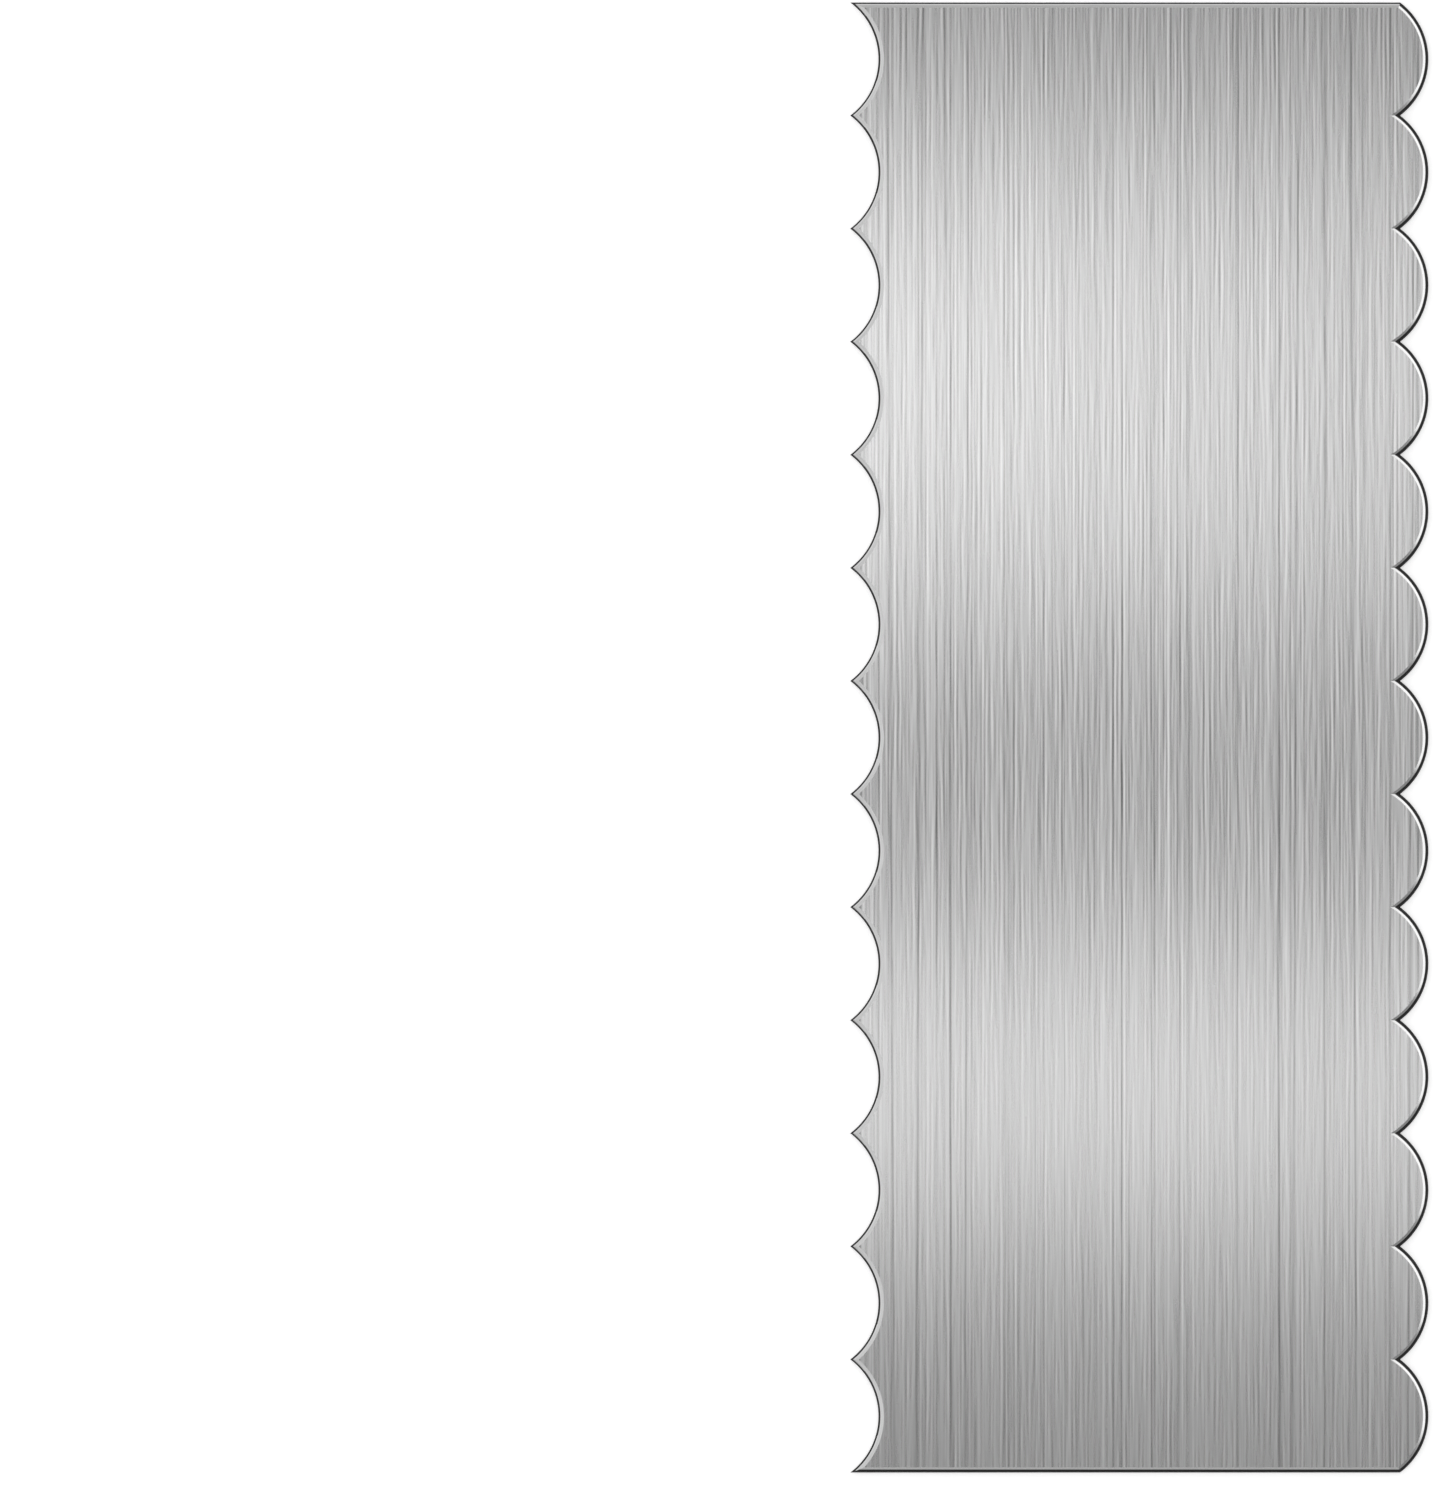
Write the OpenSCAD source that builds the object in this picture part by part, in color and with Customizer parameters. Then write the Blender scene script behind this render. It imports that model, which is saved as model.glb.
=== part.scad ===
// Cake scraper: one brushed stainless sheet, lying flat on its back face.
// X runs across the sheet, Y along it and Z through it. The origin is the
// centre of the back face. The -X edge is bitten by concave scallops and the
// +X edge stands out in convex ones of the same radius, so that the sheet is
// equally wide all along its length.

/* [Sheet] */
// Width of the sheet, from the concave edge's points to the convex edge's crests
sheet_w = 90; // [70:1:110]
// Thickness of the sheet
sheet_t = 1.2; // [1:0.1:2]

/* [Scallops] */
// Number of scallops along each long edge
scallop_count = 13; // [3:1:16]
// Length of one scallop along the edge, from point to point
scallop_pitch = 17.6; // [14:0.2:22]
// Depth of a scallop, from its points to the bottom of its arc
scallop_depth = 4.4; // [2.5:0.1:6.5]

/* [Rim] */
// Width of the polished bevel along the rim of each face
bevel_w = 0.5; // [0.2:0.05:0.8]
// Slope of the polished bevel, in degrees from the face
bevel_slope = 12; // [6:1:14]
// Distance that the rim's round nose stands out past the bevels
nose_w = 0.35; // [0.15:0.05:0.35]

/* [Hidden] */
// Facets of a full turn, where a true circle is drawn
turn_facets = 120;
// Distance that cutters and stock run past the surface they cut
overrun = 2;

half_t = sheet_t / 2;
half_w = sheet_w / 2;
half_l = scallop_count * scallop_pitch / 2;

// Radius of the circle whose arc stands rise over a chord of 2 * half_chord.
function arc_radius(half_chord, rise) =
    (half_chord * half_chord + rise * rise) / (2 * rise);

scallop_r = arc_radius(scallop_pitch / 2, scallop_depth);
// Lines along which the concave and the convex scallops' centres stand
bite_x = scallop_depth - half_w - scallop_r;
lobe_x = half_w - scallop_r;

rim_w = nose_w + bevel_w;
bevel_drop = bevel_w * tan(bevel_slope);
// Radius of the nose, whose arc spans what the bevels leave of the thickness
nose_r = arc_radius(half_t - bevel_drop, nose_w);
// Distance from the nose's end back to where its circle runs along the bevel
nose_root = nose_r * (1 - sin(bevel_slope));
// Height at which a bevel that ran on outwards would meet the nose's end
tip_h = half_t - rim_w * tan(bevel_slope);
// Height and inset to which the bevels run on past the sheet's two faces
stock_h = half_t + bevel_drop;
stock_w = rim_w + bevel_w;
// Height to which cutters reach, over the middle plane
cut_h = half_t + overrun;

// Section of the rim before the faces are cut: metal from x = -depth up to x = 0,
// where the nose ends. The nose's circle cuts off what runs on of the bevels.
module rim_section(depth) {
    intersection() {
        polygon([
            [-depth, -stock_h], [-stock_w, -stock_h], [0, -tip_h],
            [0, tip_h], [-stock_w, stock_h], [-depth, stock_h]
        ]);
        union() {
            translate([-depth, -stock_h])
                square([depth - nose_root, 2 * stock_h]);
            translate([-nose_r, 0])
                circle(r = nose_r, $fn = turn_facets);
        }
    }
}

// What the rim's section leaves of a cutter that starts inside the metal and
// ends the given reach past the nose.
module rim_waste(reach) {
    difference() {
        translate([-stock_w, -cut_h])
            square([stock_w + reach, 2 * cut_h]);
        rim_section(stock_w + overrun);
    }
}

// Turns what its children have on the +X side into a round solid.
module turned() {
    rotate_extrude($fn = turn_facets)
        intersection() {
            children();
            translate([0, -cut_h - overrun])
                square([scallop_r + stock_w + overrun, 2 * (cut_h + overrun)]);
        }
}

// A disc with the rim's section all round, of which one convex scallop is an arc.
module lobe() {
    turned()
        translate([scallop_r, 0])
            rim_section(scallop_r + overrun);
}

// A round cutter that leaves the rim's section, for one concave scallop.
module bite() {
    turned()
        translate([scallop_r, 0])
            mirror([1, 0])
                rim_waste(scallop_r + overrun);
}

// A straight cutter across the sheet that leaves the rim's section at the +Y end.
module end_trim() {
    left = bite_x - overrun;
    translate([left, 0, 0])
        rotate([90, 0, 90])
            linear_extrude(half_w + overrun - left)
                translate([half_l, 0])
                    rim_waste(overrun);
}

// One stretch of the sheet, as long as a scallop, with both of its long edges.
module stretch() {
    // Halfway between the concave scallop's centre and the line of its points
    left = (bite_x - half_w) / 2;
    difference() {
        intersection() {
            translate([left, -scallop_pitch / 2, -half_t])
                cube([half_w + overrun - left, scallop_pitch, sheet_t]);
            union() {
                translate([left - overrun, -scallop_pitch, -cut_h])
                    cube([lobe_x + overrun - left, 2 * scallop_pitch, 2 * cut_h]);
                translate([lobe_x, 0, 0])
                    lobe();
            }
        }
        translate([bite_x, 0, 0])
            bite();
    }
}

module scraper_sheet() {
    color("silver")
        translate([0, 0, half_t])
            difference() {
                for (i = [0 : scallop_count - 1])
                    translate([0, scallop_pitch * (i + 0.5) - half_l, 0])
                        stretch();
                end_trim();
                mirror([0, 1, 0])
                    end_trim();
            }
}

scraper_sheet();
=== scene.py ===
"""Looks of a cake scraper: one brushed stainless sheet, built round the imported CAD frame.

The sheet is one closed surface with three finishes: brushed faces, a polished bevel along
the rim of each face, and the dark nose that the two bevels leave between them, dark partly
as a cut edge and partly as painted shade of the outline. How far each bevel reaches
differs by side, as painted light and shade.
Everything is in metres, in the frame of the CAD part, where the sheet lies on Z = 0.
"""

import logging
import math
from dataclasses import dataclass
from enum import Enum, IntEnum

import bpy
import numpy as np
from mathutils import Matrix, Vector


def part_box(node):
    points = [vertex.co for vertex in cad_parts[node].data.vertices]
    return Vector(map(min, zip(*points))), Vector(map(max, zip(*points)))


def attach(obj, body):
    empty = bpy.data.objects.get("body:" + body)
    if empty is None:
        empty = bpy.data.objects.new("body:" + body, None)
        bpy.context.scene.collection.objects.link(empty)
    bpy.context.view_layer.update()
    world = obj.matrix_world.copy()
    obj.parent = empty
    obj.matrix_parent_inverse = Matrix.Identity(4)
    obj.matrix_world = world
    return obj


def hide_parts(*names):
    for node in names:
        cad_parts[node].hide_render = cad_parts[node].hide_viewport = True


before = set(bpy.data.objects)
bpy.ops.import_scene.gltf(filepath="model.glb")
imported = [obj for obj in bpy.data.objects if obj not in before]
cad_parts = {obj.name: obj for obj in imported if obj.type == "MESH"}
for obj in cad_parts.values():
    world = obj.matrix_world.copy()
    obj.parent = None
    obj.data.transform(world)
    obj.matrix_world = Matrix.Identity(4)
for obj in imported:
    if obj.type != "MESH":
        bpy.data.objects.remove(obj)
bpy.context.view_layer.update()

LOG = logging.getLogger("cake_scraper")
MM = 0.001
BRUSH_MAP = "brush"
CAD_NODE = "scraper_sheet"
BODY = "root"
NOISE_MIDDLE = 0.5

Socket = bpy.types.NodeSocket
Span = tuple[float, float]
Inputs = dict[str | int, object]


class Finish(IntEnum):
    """Material slots of the sheet, in the order in which its mesh holds them."""

    BRUSHED_FACE = 0
    POLISHED_BEVEL = 1
    # Dark partly as a cut edge and partly as painted shade of the sheet's outline.
    CUT_NOSE_AND_SHADE = 2


class BevelReach(IntEnum):
    """How far past the end of a bevel its bright finish reaches, in bands of the rim. It
    differs by
    side as painted light and shade: a short reach lets the dark nose paint shade onto the
    bevel, and a long one lets the bright finish paint light over the nose.
    """

    SHORT = -1
    MEDIUM = 1
    LONG = 2


class Blend(Enum):
    """Ways in which a value passes from one end of a range to the other."""

    STRAIGHT = "LINEAR"
    SOFT = "SMOOTHSTEP"


class Space(Enum):
    """Number of dimensions that a noise is worked out in."""

    FLAT = "2D"
    SOLID = "3D"


class NodeDesk:
    """A node tree being laid out, with short calls to add nodes and wire them."""

    def __init__(self, tree: bpy.types.NodeTree) -> None:
        """Takes over the tree of a material or of the world, and empties it."""
        self.tree = tree
        self.tree.nodes.clear()

    def add(
        self, kind: str, inputs: Inputs | None = None, **settings: object
    ) -> bpy.types.Node:
        """Adds a node.

        Args:
            kind: the node's Blender type.
            inputs: what each input takes, as a value or as the socket that feeds it.
            settings: the node's own properties.

        Returns:
            The new node.
        """
        node = self.tree.nodes.new(kind)
        for name, value in settings.items():
            setattr(node, name, value)
        for name, value in (inputs or {}).items():
            if isinstance(value, Socket):
                self.tree.links.new(value, node.inputs[name])
            else:
                node.inputs[name].default_value = value
        return node

    def calc(
        self,
        operation: str,
        first: float | Socket,
        second: float | Socket = 0.0,
        third: float | Socket = 0.0,
    ) -> Socket:
        """Adds a Math node for the operation, in Blender's word, and gives its result."""
        inputs = {0: first, 1: second, 2: third}
        return self.add("ShaderNodeMath", inputs, operation=operation).outputs[0]

    def ramp(
        self,
        value: Socket,
        source: Span,
        target: tuple[float | Socket, float | Socket],
        blend: Blend = Blend.SOFT,
    ) -> Socket:
        """Maps a value from one range to another, held at both ends.

        Args:
            value: what is mapped.
            source: the value's range.
            target: what the two ends of that range become.
            blend: how the value passes between them.

        Returns:
            The socket with the mapped value.
        """
        inputs = {
            "Value": value,
            "From Min": source[0],
            "From Max": source[1],
            "To Min": target[0],
            "To Max": target[1],
        }
        node = self.add("ShaderNodeMapRange", inputs, interpolation_type=blend.value)
        return node.outputs["Result"]

    def grey(self, level: Socket) -> Socket:
        """Makes a level a grey."""
        channels = {"Red": level, "Green": level, "Blue": level}
        return self.add("ShaderNodeCombineColor", channels).outputs[0]

    def stretched_noise(
        self,
        place: Socket,
        cell: Span,
        start: Span = (0.0, 0.0),
        detail: float = 0.0,
        space: Space = Space.FLAT,
    ) -> Socket:
        """Adds noise with cells of a given size: plain noise at place / cell + start.

        Args:
            place: coordinates that the noise lies in.
            cell: size of the noise's cells along X and along Y.
            start: where in the plain noise the coordinates start, in cells.
            detail: number of finer noises added to it.
            space: dimensions that it is worked out in.

        Returns:
            The socket with the noise, about NOISE_MIDDLE.
        """
        inputs = {
            "Vector": place,
            "Location": (*start, 0.0),
            "Scale": (1 / cell[0], 1 / cell[1], 1.0),
        }
        mapping = self.add("ShaderNodeMapping", inputs)
        inputs = {"Vector": mapping.outputs[0], "Scale": 1.0, "Detail": detail}
        return self.add("ShaderNodeTexNoise", inputs, noise_dimensions=space.value).outputs[0]

    def brushed_metal(self, inputs: Inputs) -> None:
        """Adds a metal brushed as the sheet's UV map says, and makes it the surface.

        Args:
            inputs: what each input of the shader takes, but for its tangent.
        """
        tangent = self.add("ShaderNodeTangent", direction_type="UV_MAP", uv_map=BRUSH_MAP)
        inputs = {"Metallic": 1.0, "Tangent": tangent.outputs[0], **inputs}
        shader = self.add("ShaderNodeBsdfPrincipled", inputs)
        self.add("ShaderNodeOutputMaterial", {"Surface": shader.outputs[0]})


def new_material(name: str) -> tuple[bpy.types.Material, NodeDesk]:
    """Makes a material with no nodes.

    Args:
        name: the material's name.

    Returns:
        The material, and the desk for its nodes.
    """
    material = bpy.data.materials.new(name)
    material.use_nodes = True
    return material, NodeDesk(material.node_tree)


def put_in_scene(name: str, data: bpy.types.ID) -> bpy.types.Object:
    """Puts a mesh, a lamp or a camera into the scene, at the origin.

    Args:
        name: name of its object.
        data: what the object is of.

    Returns:
        The object.
    """
    thing = bpy.data.objects.new(name, data)
    bpy.context.scene.collection.objects.link(thing)
    return thing


@dataclass(frozen=True)
class SheetSizes:
    """Sizes of the sheet. The overall ones come from the CAD box."""

    width: float
    length: float
    thickness: float
    base: float
    scallop_count: int = 13
    scallop_depth: float = 4.4 * MM
    bevel_width: float = 0.5 * MM
    bevel_slope: float = math.radians(12)
    nose_width: float = 0.35 * MM

    @classmethod
    def from_box(cls, low: Vector, high: Vector) -> "SheetSizes":
        """Takes the overall sizes from the lowest and the highest corner of the CAD box."""
        half = min(-low.x, high.x), min(-low.y, high.y)
        return cls(width=2 * half[0], length=2 * half[1], thickness=high.z - low.z, base=low.z)

    @property
    def pitch(self) -> float:
        """Length of one scallop, from point to point."""
        return self.length / self.scallop_count

    @property
    def scallop_radius(self) -> float:
        """Radius of the arc that rises by the scallop's depth over one pitch."""
        half = self.pitch / 2
        return (half**2 + self.scallop_depth**2) / (2 * self.scallop_depth)

    @property
    def bite_x(self) -> float:
        """Line on which the concave scallops' centres stand."""
        return self.scallop_depth - self.width / 2 - self.scallop_radius

    @property
    def lobe_x(self) -> float:
        """Line on which the convex scallops' centres stand."""
        return self.width / 2 - self.scallop_radius

    @property
    def bevel_drop(self) -> float:
        """Height that a bevel falls by over its width."""
        return self.bevel_width * math.tan(self.bevel_slope)

    @property
    def nose_radius(self) -> float:
        """Radius of the nose, whose arc spans what the bevels leave of the thickness."""
        half = self.thickness / 2 - self.bevel_drop
        return (half**2 + self.nose_width**2) / (2 * self.nose_width)


@dataclass(frozen=True)
class RimSection:
    """Section through the rim, from the back face's bevel round to the top face's.

    The outermost band of a bevel starts at the share of its width given below. Where a
    bevel's reach is short, that band takes the dark nose finish as painted shade.
    """

    sizes: SheetSizes
    bevel_bands: int = 3
    outer_band_from: float = 0.7
    nose_bands: int = 28

    def levels(self) -> tuple[np.ndarray, np.ndarray]:
        """Lays out the section.

        On a bevel, height falls in a straight line over the inset. On the nose,
        inset = r - r * cos(a) and height = middle + r * sin(a), where r is the
        nose's radius and a runs from minus to plus the angle at which it meets
        the bevels.

        Returns:
            Each level's inset from the outline, and its height.
        """
        s = self.sizes
        reach = math.asin((s.thickness / 2 - s.bevel_drop) / s.nose_radius)
        turn = np.linspace(-reach, reach, self.nose_bands + 1)
        step = np.linspace(0.0, self.outer_band_from, self.bevel_bands)
        bevel_inset = s.nose_width + s.bevel_width * (1.0 - step)
        insets = np.concatenate(
            [bevel_inset, s.nose_radius * (1.0 - np.cos(turn)), bevel_inset[::-1]]
        )
        heights = np.concatenate(
            [
                s.bevel_drop * step,
                s.thickness / 2 + s.nose_radius * np.sin(turn),
                s.thickness - s.bevel_drop * step[::-1],
            ]
        )
        return insets, heights + s.base

    def finishes(self, bevel_reach: np.ndarray) -> np.ndarray:
        """Says which finish each face of the rim has.

        Args:
            bevel_reach: how far the bevel's bright finish reaches at each step round the
                outline, which differs by side as painted light and shade.

        Returns:
            Finishes of shape (bands, steps round).
        """
        bands = 2 * self.bevel_bands + self.nose_bands
        from_face = np.minimum(np.arange(bands), np.arange(bands)[::-1])
        # Bands past the reach take the dark nose finish, which is painted shade where the reach
        # is short.
        polished = self.bevel_bands + bevel_reach
        return np.where(
            from_face[:, None] < polished[None, :],
            int(Finish.POLISHED_BEVEL),
            int(Finish.CUT_NOSE_AND_SHADE),
        )


@dataclass(frozen=True)
class SheetOutline:
    """Outline of the sheet seen from above, at any inset from its outermost line.

    The share of each concave scallop whose rim gets the medium reach, as painted shade,
    is counted from its +Y point.
    """

    sizes: SheetSizes
    steps_per_scallop: int = 48
    steps_across: int = 24
    painted_shade_share: Span = (0.12, 0.66)

    @property
    def steps_along(self) -> int:
        """Steps along one scalloped edge."""
        return self.sizes.scallop_count * self.steps_per_scallop

    @property
    def steps_round(self) -> int:
        """Steps round the whole outline."""
        return 2 * (self.steps_along + self.steps_across)

    def scalloped_edge(
        self, centre_x: float, radii: np.ndarray, insets: np.ndarray
    ) -> np.ndarray:
        """Lays out one long edge, from the -Y end to the +Y end.

        A scallop is the arc x = centre x + r * cos(a), y = centre y + r * sin(a). Its
        angle a runs between the two lines across the sheet where it meets its
        neighbours, or where the sheet ends less the inset.

        Args:
            centre_x: line on which the scallops' centres stand.
            radii: radius of the arcs at each inset.
            insets: distances from the outermost line.

        Returns:
            Points of shape (insets, steps along + 1, 2).
        """
        s = self.sizes
        number = np.arange(s.scallop_count)[None, :, None]
        radius = radii[:, None, None]
        end = s.length / 2 - insets[:, None, None]
        start_y = number * s.pitch - s.length / 2
        centre_y = start_y + s.pitch / 2
        first = np.arcsin((np.maximum(start_y, -end) - centre_y) / radius)
        last = np.arcsin((np.minimum(start_y + s.pitch, end) - centre_y) / radius)
        share = (np.arange(self.steps_per_scallop) / self.steps_per_scallop)[None, None, :]
        angle = (first + (last - first) * share).reshape(len(insets), -1)
        angle = np.concatenate([angle, last[:, -1]], axis=1)
        along = np.repeat(centre_y[0, :, 0], self.steps_per_scallop)
        along = np.append(along, centre_y[0, -1, 0])
        reach = radii[:, None]
        x = centre_x + reach * np.cos(angle)
        y = along[None, :] + reach * np.sin(angle)
        return np.stack([x, y], axis=-1)

    def loops(self, insets: np.ndarray) -> np.ndarray:
        """Lays out the outline at each inset, anticlockwise from the -X, -Y corner.

        A concave edge's arcs grow by the inset and a convex edge's shrink by it. The
        ends are straight lines from corner to corner.

        Args:
            insets: distances from the outermost line.

        Returns:
            Points of shape (insets, steps round, 2).
        """
        s = self.sizes
        left = self.scalloped_edge(s.bite_x, s.scallop_radius + insets, insets)
        right = self.scalloped_edge(s.lobe_x, s.scallop_radius - insets, insets)
        share = np.linspace(0.0, 1.0, self.steps_across + 1)[None, :-1, None]
        low = left[:, :1] + (right[:, :1] - left[:, :1]) * share
        high = right[:, -1:] + (left[:, -1:] - right[:, -1:]) * share
        return np.concatenate([low, right[:, :-1], high, left[:, :0:-1]], axis=1)

    def border(self) -> tuple[np.ndarray, np.ndarray, np.ndarray, np.ndarray]:
        """Numbers the outline's points as the four sides of a grid.

        Returns:
            The points on the -X and the +X side, from the -Y end up, and those on the
            -Y and the +Y end, from the -X side on.
        """
        rows, columns, total = self.steps_along, self.steps_across, self.steps_round
        left = (total - np.arange(rows + 1)) % total
        right = columns + np.arange(rows + 1)
        low = np.arange(columns + 1)
        high = columns + rows + columns - np.arange(columns + 1)
        return left, right, low, high

    def bevel_reach(self) -> np.ndarray:
        """Says how far the bevel's bright finish reaches at each step, as painted light and
        shade.

        It stops short on the -Y end and the convex edge, which come first, so that the dark
        nose paints shade onto their bevels. It is long on the +Y end and the concave edge,
        where it paints light over the nose, but medium in the painted shade share of each
        concave scallop. The concave edge's steps come last, from the +Y end down.

        Returns:
            A reach, in bands, for each step round the outline.
        """
        # Painted light: the bright bevel finish reaches over the nose.
        reach = np.full(self.steps_round, int(BevelReach.LONG))
        # Painted shade: on the -Y end and the convex edge, the dark nose reaches onto the
        # bevel.
        reach[: self.steps_across + self.steps_along] = int(BevelReach.SHORT)
        share = (np.arange(self.steps_along) % self.steps_per_scallop) / self.steps_per_scallop
        shaded = (share > self.painted_shade_share[0]) & (share < self.painted_shade_share[1])
        # Painted shade over part of each concave scallop: a medium reach.
        reach[-self.steps_along :][shaded] = int(BevelReach.MEDIUM)
        return reach

    def is_mitre(self) -> np.ndarray:
        """Says which points of the outline are corners: cusps, notches and ends.

        Returns:
            True or False for each point round the outline.
        """
        rows = np.arange(0, self.steps_along + 1, self.steps_per_scallop)
        left, right, _, _ = self.border()
        mitre = np.zeros(self.steps_round, bool)
        mitre[left[rows]] = True
        mitre[right[rows]] = True
        return mitre


@dataclass(frozen=True)
class StreakLayer:
    """One layer of the brushed grain: noise stretched along the sheet.

    A crisp layer is the difference between the noise and the same noise a spacing
    further across, which leaves no broad patches in it.
    """

    width: float
    length: float
    strength: float
    seed: float
    spacing: float = 0.0

    def noise(self, desk: NodeDesk, place: Socket, aside: float = 0.0) -> Socket:
        """Adds the noise over Object coordinates, shifted aside across the sheet."""
        start = self.seed + aside / self.width, self.seed
        return desk.stretched_noise(place, (self.width, self.length), start)

    def lay(self, desk: NodeDesk, place: Socket) -> Socket:
        """Adds the layer's nodes.

        Args:
            desk: the material's node tree.
            place: Object coordinates.

        Returns:
            The socket with the layer's level, about 0, times its strength.
        """
        middle = self.noise(desk, place, self.spacing) if self.spacing else NOISE_MIDDLE
        centred = desk.calc("SUBTRACT", self.noise(desk, place), middle)
        return desk.calc("MULTIPLY", centred, self.strength)


@dataclass(frozen=True)
class BrushedFinish:
    """Long grain of the faces, brushed along Y, with a few deeper hairlines.

    The brush pressed less towards the -Y end, so the grain is fainter there. A
    hairline runs where a noise across the sheet is within hairline_band of its
    middle. Scatter is the rise of the roughness with the grain.
    """

    name: str = "brushed_face"
    colour: float = 0.6
    roughness: float = 0.278
    anisotropy: float = 0.9
    groove_depth: float = 0.002 * MM
    layers: tuple[StreakLayer, ...] = (
        StreakLayer(width=0.36 * MM, length=3000 * MM, strength=0.58, seed=31.0),
        StreakLayer(width=0.43 * MM, length=3000 * MM, strength=0.50, seed=88.0),
        StreakLayer(width=1.6 * MM, length=3000 * MM, strength=0.17, seed=139.0),
        StreakLayer(
            width=0.36 * MM, length=9.5 * MM, strength=0.36, seed=177.0, spacing=0.30 * MM
        ),
        StreakLayer(
            width=0.42 * MM, length=35 * MM, strength=0.21, seed=413.0, spacing=0.38 * MM
        ),
        StreakLayer(width=0.7 * MM, length=24 * MM, strength=0.14, seed=271.0),
        StreakLayer(width=3.0 * MM, length=200 * MM, strength=0.14, seed=59.0),
    )
    pressure_y: Span = (-75 * MM, -5 * MM)
    pressure: Span = (0.64, 1.0)
    scatter: float = 0.08
    hairline_cell: Span = (9 * MM, 4000 * MM)
    hairline_start: Span = (7.3, 2.0)
    hairline_band: float = 0.011
    hairline_depth: float = 0.26

    def hairlines(self, desk: NodeDesk, place: Socket) -> Socket:
        """Draws thin full-length lines where a noise across the sheet crosses its middle.

        Args:
            desk: the material's node tree.
            place: Object coordinates.

        Returns:
            The socket that is 1 in a line and 0 beside it.
        """
        noise = desk.stretched_noise(place, self.hairline_cell, self.hairline_start)
        off = desk.calc("ABSOLUTE", desk.calc("SUBTRACT", noise, NOISE_MIDDLE))
        return desk.ramp(off, (0.0, self.hairline_band), (1.0, 0.0))

    def make(self) -> bpy.types.Material:
        """Builds the material.

        Returns:
            A metal whose highlights spread across the grain.
        """
        material, desk = new_material(self.name)
        place = desk.add("ShaderNodeTexCoord").outputs["Object"]
        grain = self.layers[0].lay(desk, place)
        for layer in self.layers[1:]:
            grain = desk.calc("ADD", grain, layer.lay(desk, place))
        along = desk.add("ShaderNodeSeparateXYZ", {0: place}).outputs["Y"]
        grain = desk.calc("MULTIPLY", grain, desk.ramp(along, self.pressure_y, self.pressure))
        line = self.hairlines(desk, place)
        shade = desk.calc("MULTIPLY_ADD", line, -self.hairline_depth, grain)
        level = desk.calc("MULTIPLY_ADD", shade, self.colour, self.colour)
        rough = desk.calc("MULTIPLY_ADD", grain, self.scatter, self.roughness)
        grooves = {"Strength": 1.0, "Distance": self.groove_depth, "Height": shade}
        desk.brushed_metal(
            {
                "Base Color": desk.grey(level),
                "Roughness": rough,
                "Anisotropic": self.anisotropy,
                "Normal": desk.add("ShaderNodeBump", grooves).outputs[0],
            }
        )
        return material


@dataclass(frozen=True)
class EdgeFinish:
    """Finish of a dressed edge, with fine lines that run along the outline.

    Variation and unevenness are the shares by which the lines vary its colour and
    its roughness. Edge tint is the brightness of what it mirrors at a low angle.
    """

    name: str
    colour: float
    roughness: float
    anisotropy: float
    edge_tint: float
    variation: float
    line_width: float
    line_length: float
    unevenness: float = 0.3
    line_detail: float = 2.0

    def make(self) -> bpy.types.Material:
        """Builds the material. Its lines follow the sheet's own UV map.

        Returns:
            A metal with fine dressing lines along the edge.
        """
        material, desk = new_material(self.name)
        place = desk.add("ShaderNodeUVMap", uv_map=BRUSH_MAP).outputs[0]
        cell = self.line_width, self.line_length
        noise = desk.stretched_noise(place, cell, detail=self.line_detail, space=Space.SOLID)
        centred = desk.calc("SUBTRACT", noise, NOISE_MIDDLE)
        level = desk.calc("MULTIPLY_ADD", centred, self.variation * self.colour, self.colour)
        spread = self.unevenness * self.roughness
        desk.brushed_metal(
            {
                "Base Color": desk.grey(level),
                "Roughness": desk.calc("MULTIPLY_ADD", centred, spread, self.roughness),
                "Specular Tint": (self.edge_tint,) * 3 + (1.0,),
                "Anisotropic": self.anisotropy,
            }
        )
        return material


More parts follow.
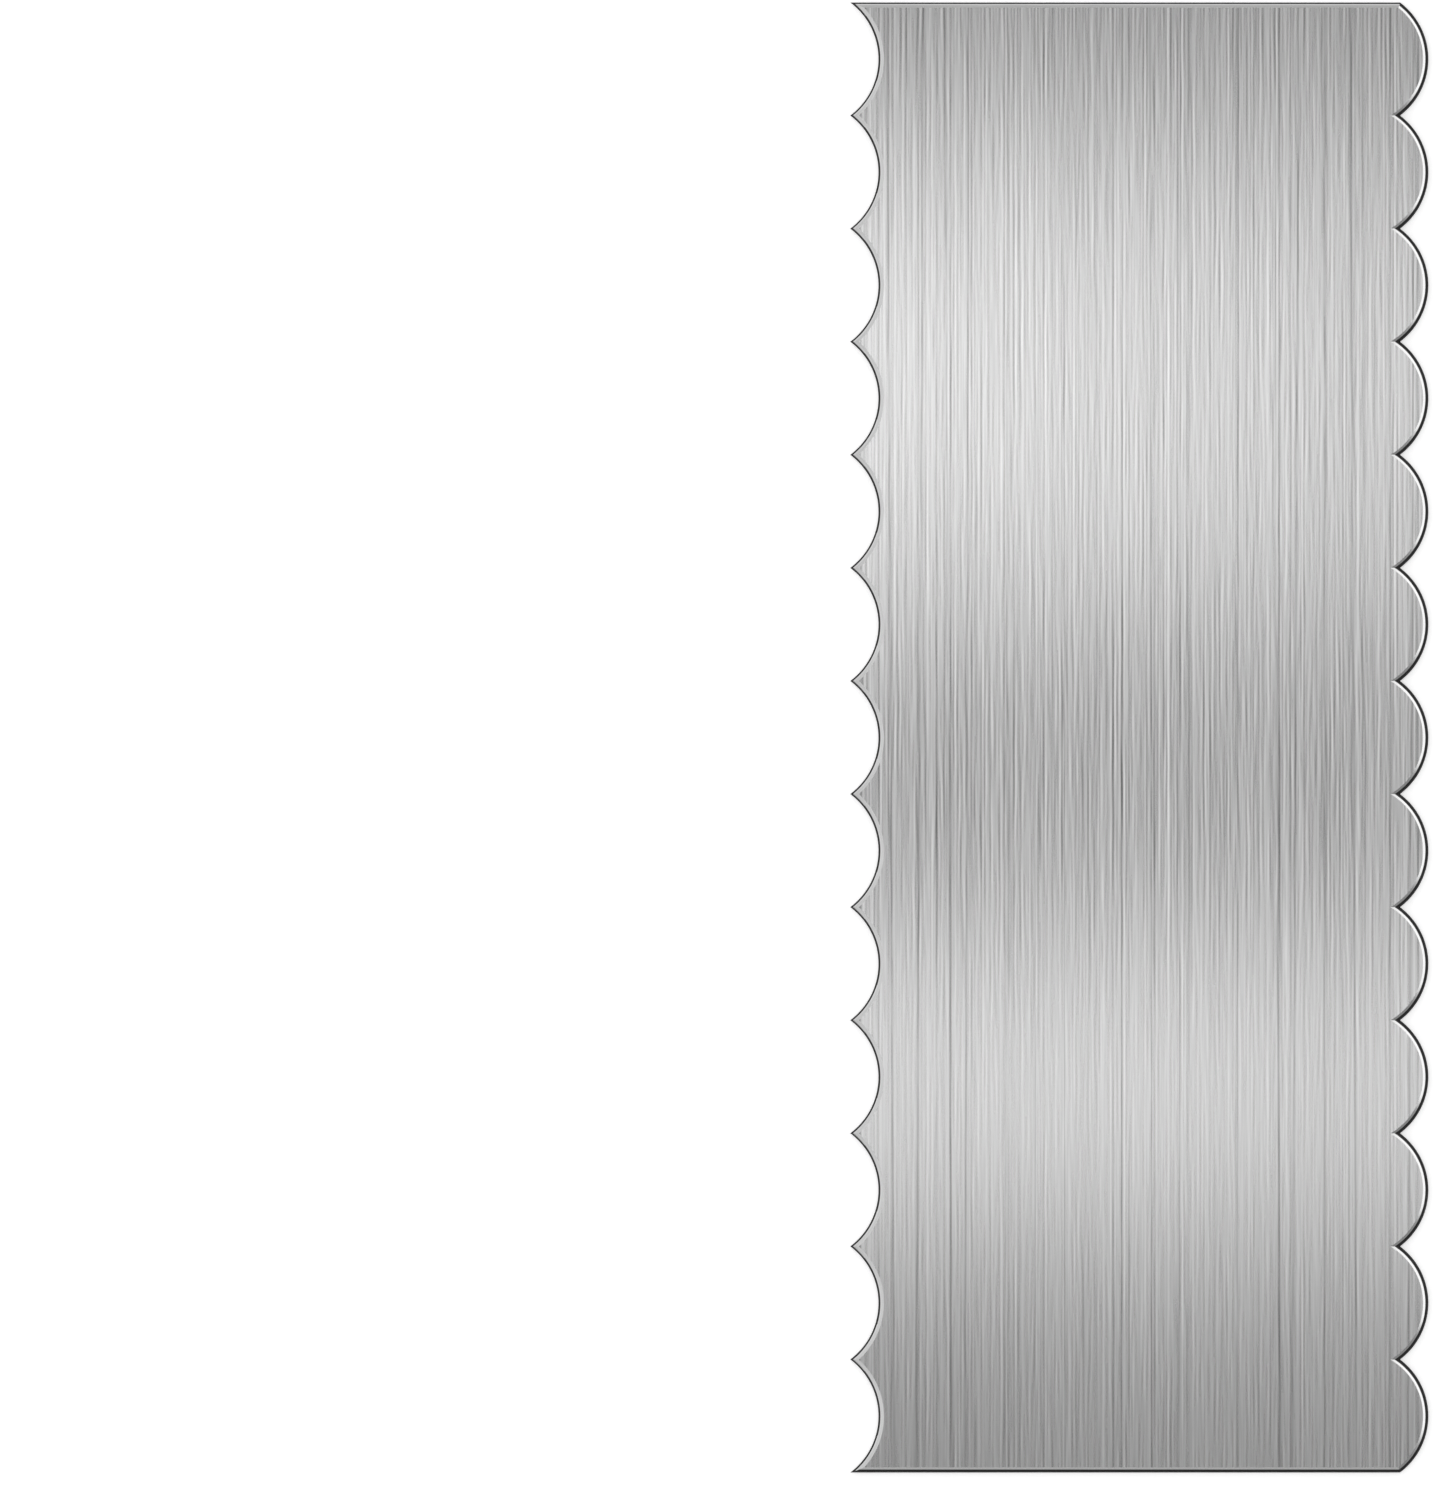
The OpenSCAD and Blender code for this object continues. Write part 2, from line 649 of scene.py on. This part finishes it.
@dataclass
class ScraperSheet:
    """The whole scraper: a flat sheet with concave scallops at -X and convex ones at +X."""

    sizes: SheetSizes
    name: str = "brushed_sheet"
    faces: BrushedFinish = BrushedFinish()
    bevels: EdgeFinish = EdgeFinish(
        name="polished_bevel",
        colour=0.85,
        roughness=0.14,
        anisotropy=0.3,
        edge_tint=1.0,
        variation=0.25,
        line_width=0.12 * MM,
        line_length=9 * MM,
    )
    # Near-black colour and a dim edge tint: partly a cut edge's darker finish, partly painted
    # shade of the outline.
    nose: EdgeFinish = EdgeFinish(
        name="cut_nose_and_painted_shade",
        colour=0.05,
        roughness=0.34,
        anisotropy=0.4,
        edge_tint=0.2,
        variation=0.6,
        line_width=0.18 * MM,
        line_length=4 * MM,
    )

    def __post_init__(self) -> None:
        """Sets up the outline and the rim's section."""
        self.outline = SheetOutline(self.sizes)
        self.rim = RimSection(self.sizes)

    def points(self, loops: np.ndarray, heights: np.ndarray) -> np.ndarray:
        """Places every vertex: the rim's levels, then the inside of either face.

        A face is ruled: its point at a share of the way across lies at that share
        of the straight line between the two long edges' points of its row.

        Args:
            loops: the outline at each level of the rim.
            heights: height of each level.

        Returns:
            Points of shape (vertices, 3).
        """
        levels, around, _ = loops.shape
        lift = np.broadcast_to(heights[:, None, None], (levels, around, 1))
        rim = np.concatenate([loops, lift], axis=-1).reshape(-1, 3)
        left, right, _, _ = self.outline.border()
        share = np.linspace(0.0, 1.0, self.outline.steps_across + 1)[1:-1]
        inside = []
        for level in (0, levels - 1):
            near = loops[level, left[1:-1], None]
            far = loops[level, right[1:-1], None]
            flat = near + (far - near) * share[None, :, None]
            lift = np.full(flat.shape[:2] + (1,), heights[level])
            inside.append(np.concatenate([flat, lift], axis=-1).reshape(-1, 3))
        return np.concatenate([rim, *inside])

    def face_numbers(self, levels: int) -> tuple[np.ndarray, np.ndarray]:
        """Numbers the vertices of the back and of the top face as grids.

        Args:
            levels: number of levels of the rim.

        Returns:
            Two arrays of vertex numbers, with a row for each step along the sheet.
        """
        around = self.outline.steps_round
        rows, columns = self.outline.steps_along, self.outline.steps_across
        left, right, low, high = self.outline.border()
        grids = []
        inside = (rows - 1) * (columns - 1)
        for place, level in enumerate((0, levels - 1)):
            grid = np.empty((rows + 1, columns + 1), int)
            first = levels * around + place * inside
            grid[1:-1, 1:-1] = first + np.arange(inside).reshape(rows - 1, columns - 1)
            grid[:, 0], grid[:, -1] = level * around + left, level * around + right
            grid[0], grid[-1] = level * around + low, level * around + high
            grids.append(grid)
        return grids[0], grids[1]

    def build(self) -> bpy.types.Object:
        """Builds the sheet as one closed surface.

        Its rim is the section carried round the outline, with mitres at the corners,
        and its two faces are ruled grids between the long edges.

        Returns:
            The sheet, at the origin, with its place in its mesh.
        """
        insets, heights = self.rim.levels()
        loops = self.outline.loops(insets)
        levels, around, _ = loops.shape
        points = self.points(loops, heights)

        here = np.arange(levels * around).reshape(levels, around)
        ahead = np.roll(here, -1, axis=1)
        rim = np.stack([here[:-1], ahead[:-1], ahead[1:], here[1:]], axis=-1)
        back, top = self.face_numbers(levels)
        patches = [
            rim,
            np.stack([back[:-1, :-1], back[1:, :-1], back[1:, 1:], back[:-1, 1:]], -1),
            np.stack([top[:-1, :-1], top[:-1, 1:], top[1:, 1:], top[1:, :-1]], -1),
        ]
        quads = np.concatenate([patch.reshape(-1, 4) for patch in patches])
        finish = np.full(len(quads), int(Finish.BRUSHED_FACE))
        finish[: rim.shape[0] * around] = self.rim.finishes(self.outline.bevel_reach()).ravel()

        mesh = bpy.data.meshes.new(self.name)
        mesh.from_pydata(points, [], quads)
        mesh.polygons.foreach_set("material_index", finish.astype(np.int32))
        mesh.polygons.foreach_set("use_smooth", np.ones(len(quads), bool))
        self.crease(mesh, levels)
        self.map_brush(mesh, quads, points, loops, heights)
        mesh.update()
        for made in (self.faces, self.bevels, self.nose):
            mesh.materials.append(made.make())
        return put_in_scene(self.name, mesh)

    def crease(self, mesh: bpy.types.Mesh, levels: int) -> None:
        """Keeps sharp the lines between faces and bevels, and the mitres at corners.

        Args:
            mesh: the sheet's mesh.
            levels: number of levels of the rim.
        """
        around = self.outline.steps_round
        ends = np.empty(len(mesh.edges) * 2, np.int32)
        mesh.edges.foreach_get("vertices", ends)
        ends = ends.reshape(-1, 2)
        on_rim = (ends < levels * around).all(axis=1)
        level, place = ends // around, ends % around
        along = (level[:, 0] == level[:, 1]) & np.isin(level[:, 0], (0, levels - 1))
        mitre = self.outline.is_mitre()
        across = (place[:, 0] == place[:, 1]) & mitre[place[:, 0]]
        mesh.edges.foreach_set("use_edge_sharp", on_rim & (along | across))

    def map_brush(
        self,
        mesh: bpy.types.Mesh,
        quads: np.ndarray,
        points: np.ndarray,
        loops: np.ndarray,
        heights: np.ndarray,
    ) -> None:
        """Lays the UV map that says how each surface was brushed.

        V runs along the brush lines and U across them, both in metres. On the faces
        U is X and V is Y. On the rim U is the distance round the section and V the
        distance along the outline. The section is read off the -Y end, which is
        straight along X.

        Args:
            mesh: the sheet's mesh.
            quads: the four vertices of each face.
            points: the vertices.
            loops: the outline at each level of the rim.
            heights: height of each level.
        """
        levels, around, _ = loops.shape
        uv = points[quads][..., :2].copy()
        middle = loops[levels // 2]
        step = np.linalg.norm(np.roll(middle, -1, axis=0) - middle, axis=1)
        along = np.concatenate([[0.0], np.cumsum(step)])
        section = np.stack([loops[:, 1, 1], heights])
        rise = np.linalg.norm(np.diff(section, axis=1), axis=0)
        across = np.concatenate([[0.0], np.cumsum(rise)])
        level, place = np.divmod(np.arange((levels - 1) * around), around)
        corner_u = np.stack([level, level, level + 1, level + 1], axis=-1)
        corner_v = np.stack([place, place + 1, place + 1, place], axis=-1)
        uv[: len(level), :, 0] = across[corner_u]
        uv[: len(level), :, 1] = along[corner_v]
        layer = mesh.uv_layers.new(name=BRUSH_MAP)
        layer.uv.foreach_set("vector", uv.astype(np.float32).ravel())


@dataclass(frozen=True)
class SoftLamp:
    """A rectangular lamp with an even face.

    Its power is its level times pi times its area.
    """

    name: str
    place: tuple[float, float, float]
    size: Span
    level: float

    def hang(self) -> bpy.types.Object:
        """Hangs the lamp, facing straight down.

        Returns:
            The lamp.
        """
        data = bpy.data.lights.new(self.name, "AREA")
        data.shape = "RECTANGLE"
        data.size, data.size_y = self.size
        data.energy = self.level * math.pi * self.size[0] * self.size[1]
        lamp = put_in_scene(self.name, data)
        lamp.location = self.place
        lamp.visible_camera = False
        return lamp


@dataclass(frozen=True)
class SlopeWindow:
    """A rectangle of the surround, told by its slopes, with a level of its own."""

    level: float
    span_x: Span
    span_y: Span
    edge: float = 0.05

    def lay(self, desk: NodeDesk, slopes: tuple[Socket, Socket], around: Socket) -> Socket:
        """Lays the window over the level that a direction has without it.

        It is in full inside both spans and ends softly, within its edge of their ends.

        Args:
            desk: the world's node tree.
            slopes: the direction's slopes X / Z and Y / Z.
            around: the level without the window.

        Returns:
            The socket with the level.
        """
        inside: float | Socket = 1.0
        for slope, (low, high) in zip(slopes, (self.span_x, self.span_y)):
            enter = desk.ramp(slope, (low - self.edge, low + self.edge), (0.0, 1.0))
            leave = desk.ramp(slope, (high - self.edge, high + self.edge), (1.0, 0.0))
            inside = desk.calc("MULTIPLY", inside, desk.calc("MULTIPLY", enter, leave))
        return desk.ramp(inside, (0.0, 1.0), (around, self.level), Blend.STRAIGHT)


@dataclass(frozen=True)
class Surround:
    """The studio round the sheet: what it reflects beside the lamps.

    A direction is told by its height Z and by its two slopes, X / Z and Y / Z, which
    say how far it leans from straight up. Overhead is a dim opening, with a brighter
    collar round it. The collar has a bright window, the key, at +X, and a dim flag
    beside it towards -Y. Below the collar comes a ring, lighter towards the azimuth
    light_side, and below the ring the white horizon. Lowest is the least height that
    slopes are worked out with, and darkest the opening's least level.
    """

    lowest: float = 0.05
    darkest: float = 0.05
    opening: float = 0.1336
    opening_fall: float = 1.143
    opening_rim: Span = (0.22, 0.32)
    collar: float = 0.47
    collar_rise: Span = (-0.50, 0.02)
    collar_range: Span = (0.03, 0.80)
    collar_height: Span = (0.78, 0.88)
    flag: SlopeWindow = SlopeWindow(level=0.24, span_x=(0.17, 0.80), span_y=(-0.80, -0.14))
    key: SlopeWindow = SlopeWindow(level=1.2, span_x=(0.27, 0.62), span_y=(-0.21, 0.50))
    light_side: float = math.radians(140)
    ring: Span = (0.35, 0.80)
    ring_reach: Span = (-0.1, 0.4)
    ring_height: Span = (0.2, 0.45)
    horizon: float = 1.0

    def opening_and_collar(
        self, desk: NodeDesk, slope_x: Socket, slope_y: Socket
    ) -> Socket:
        """Works out the level overhead.

        The opening falls by opening_fall over slope X, and the collar rises by
        collar_rise over the two slopes. One passes into the other over the range
        opening_rim of the lean, which is the root of slope X squared + slope Y squared.

        Args:
            desk: the world's node tree.
            slope_x: the direction's slope X / Z.
            slope_y: its slope Y / Z.

        Returns:
            The socket with the level.
        """
        opening = desk.calc("MULTIPLY_ADD", slope_x, -self.opening_fall, self.opening)
        opening = desk.calc("MAXIMUM", opening, self.darkest)
        collar = desk.calc("MULTIPLY_ADD", slope_x, self.collar_rise[0], self.collar)
        collar = desk.calc("MULTIPLY_ADD", slope_y, self.collar_rise[1], collar)
        collar = desk.ramp(collar, self.collar_range, self.collar_range, Blend.STRAIGHT)
        lean = desk.calc("MULTIPLY", slope_x, slope_x)
        lean = desk.calc("SQRT", desk.calc("MULTIPLY_ADD", slope_y, slope_y, lean))
        return desk.ramp(lean, self.opening_rim, (opening, collar))

    def ring_and_horizon(self, desk: NodeDesk, axes: bpy.types.Node) -> Socket:
        """Works out the level round about.

        The ring's level follows the direction's part along the azimuth light_side,
        X * cos(light_side) + Y * sin(light_side).

        Args:
            desk: the world's node tree.
            axes: the node with the direction's X, Y and Z.

        Returns:
            The socket with the level.
        """
        part_x = desk.calc("MULTIPLY", axes.outputs["X"], math.cos(self.light_side))
        share_y = math.sin(self.light_side)
        part = desk.calc("MULTIPLY_ADD", axes.outputs["Y"], share_y, part_x)
        ring = desk.ramp(part, self.ring_reach, self.ring)
        return desk.ramp(axes.outputs["Z"], self.ring_height, (self.horizon, ring))

    def make(self) -> None:
        """Sets the world. Its level depends on direction, and it is white at the horizon."""
        world = bpy.data.worlds.new("studio")
        world.use_nodes = True
        bpy.context.scene.world = world
        desk = NodeDesk(world.node_tree)
        toward = desk.add("ShaderNodeTexCoord").outputs["Generated"]
        axes = desk.add("ShaderNodeSeparateXYZ", {0: toward})
        height = desk.calc("MAXIMUM", axes.outputs["Z"], self.lowest)
        slopes = (
            desk.calc("DIVIDE", axes.outputs["X"], height),
            desk.calc("DIVIDE", axes.outputs["Y"], height),
        )
        ends = self.ring_and_horizon(desk, axes), self.opening_and_collar(desk, *slopes)
        level = desk.ramp(axes.outputs["Z"], self.collar_height, ends)
        level = self.flag.lay(desk, slopes, level)
        level = self.key.lay(desk, slopes, level)
        sky = desk.add("ShaderNodeBackground", {"Color": desk.grey(level)})
        desk.add("ShaderNodeOutputWorld", {"Surface": sky.outputs[0]})


@dataclass(frozen=True)
class StudioFloor:
    """A wide white floor, a small drop under the sheet, so that they share no plane."""

    name: str = "studio_floor"
    reach: float = 6.0
    drop: float = 0.05 * MM
    whiteness: float = 0.9
    glow: float = 0.53

    def lay(self, height: float) -> bpy.types.Object:
        """Lays the floor.

        Args:
            height: height of the sheet's back face.

        Returns:
            The floor.
        """
        corners = np.array([[-1, -1], [1, -1], [1, 1], [-1, 1]], float) * self.reach
        points = np.column_stack([corners, np.full(4, height - self.drop)])
        mesh = bpy.data.meshes.new(self.name)
        mesh.from_pydata(points, [], [(0, 1, 2, 3)])
        mesh.materials.append(self.material())
        floor = put_in_scene(self.name, mesh)
        return floor

    def material(self) -> bpy.types.Material:
        """Builds the floor's material.

        Returns:
            Matt white, with a glow up to plain white for camera, glossy and
            transmission rays.
        """
        material, desk = new_material("studio_white")
        rays = desk.add("ShaderNodeLightPath").outputs
        seen = desk.calc("MAXIMUM", rays["Is Camera Ray"], rays["Is Glossy Ray"])
        seen = desk.calc("MAXIMUM", seen, rays["Is Transmission Ray"])
        strength = desk.calc("MULTIPLY", seen, self.glow)
        white = (self.whiteness,) * 3 + (1.0,)
        matt = desk.add("ShaderNodeBsdfDiffuse", {"Color": white})
        glow = desk.add("ShaderNodeEmission", {"Strength": strength})
        both = desk.add("ShaderNodeAddShader", {0: matt.outputs[0], 1: glow.outputs[0]})
        desk.add("ShaderNodeOutputMaterial", {"Surface": both.outputs[0]})
        return material


@dataclass(frozen=True)
class Studio:
    """Floor, surround and lamps."""

    surround: Surround = Surround()
    floor: StudioFloor = StudioFloor()
    lamps: tuple[SoftLamp, ...] = (
        SoftLamp(
            name="strip_far", place=(-0.0695, 0.0773, 0.75), size=(0.2211, 0.1053), level=2.51
        ),
        SoftLamp(
            name="strip_near", place=(-0.0286, -0.0727, 0.75), size=(0.3028, 0.0576), level=2.16
        ),
    )

    def set_up(self, sizes: SheetSizes) -> None:
        """Sets up the studio round the sheet.

        Args:
            sizes: the sheet's sizes.
        """
        self.surround.make()
        self.floor.lay(sizes.base)
        for lamp in self.lamps:
            hung = lamp.hang()
            LOG.info("lamp %s at %s", hung.name, tuple(round(v, 3) for v in hung.location))


@dataclass(frozen=True)
class OverheadCamera:
    """Camera straight above, with the sheet in the right half of the picture.

    Aside and below are its place along X and along Y, from the sheet's middle.
    """

    name: str = "overhead"
    distance: float = 2.0
    aside: float = -64.87 * MM
    below: float = -1.01 * MM
    picture_height: float = 231.60 * MM
    clip: Span = (0.01, 50.0)

    def set_up(self, sizes: SheetSizes) -> bpy.types.Object:
        """Makes the scene's camera.

        The lens takes in the picture's height at the level of the sheet's middle:
        lens = half the sensor * distance / half the picture's height.

        Args:
            sizes: the sheet's sizes.

        Returns:
            The camera.
        """
        data = bpy.data.cameras.new(self.name)
        data.lens = data.sensor_width / 2 * self.distance / (self.picture_height / 2)
        data.clip_start, data.clip_end = self.clip
        camera = put_in_scene(self.name, data)
        middle = sizes.base + sizes.thickness / 2
        camera.location = (self.aside, self.below, middle + self.distance)
        bpy.context.scene.camera = camera
        return camera


def main() -> None:
    """Builds the sheet, dresses it, and sets up the studio and the camera."""
    logging.basicConfig(level=logging.INFO, format="%(message)s")
    sizes = SheetSizes.from_box(*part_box(CAD_NODE))
    OverheadCamera().set_up(sizes)
    sheet = ScraperSheet(sizes).build()
    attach(sheet, BODY)
    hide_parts(CAD_NODE)
    LOG.info("piece %s: %d faces", sheet.name, len(sheet.data.polygons))
    Studio().set_up(sizes)
    bpy.context.scene.view_settings.view_transform = "Standard"


if __name__ == "__main__":
    main()
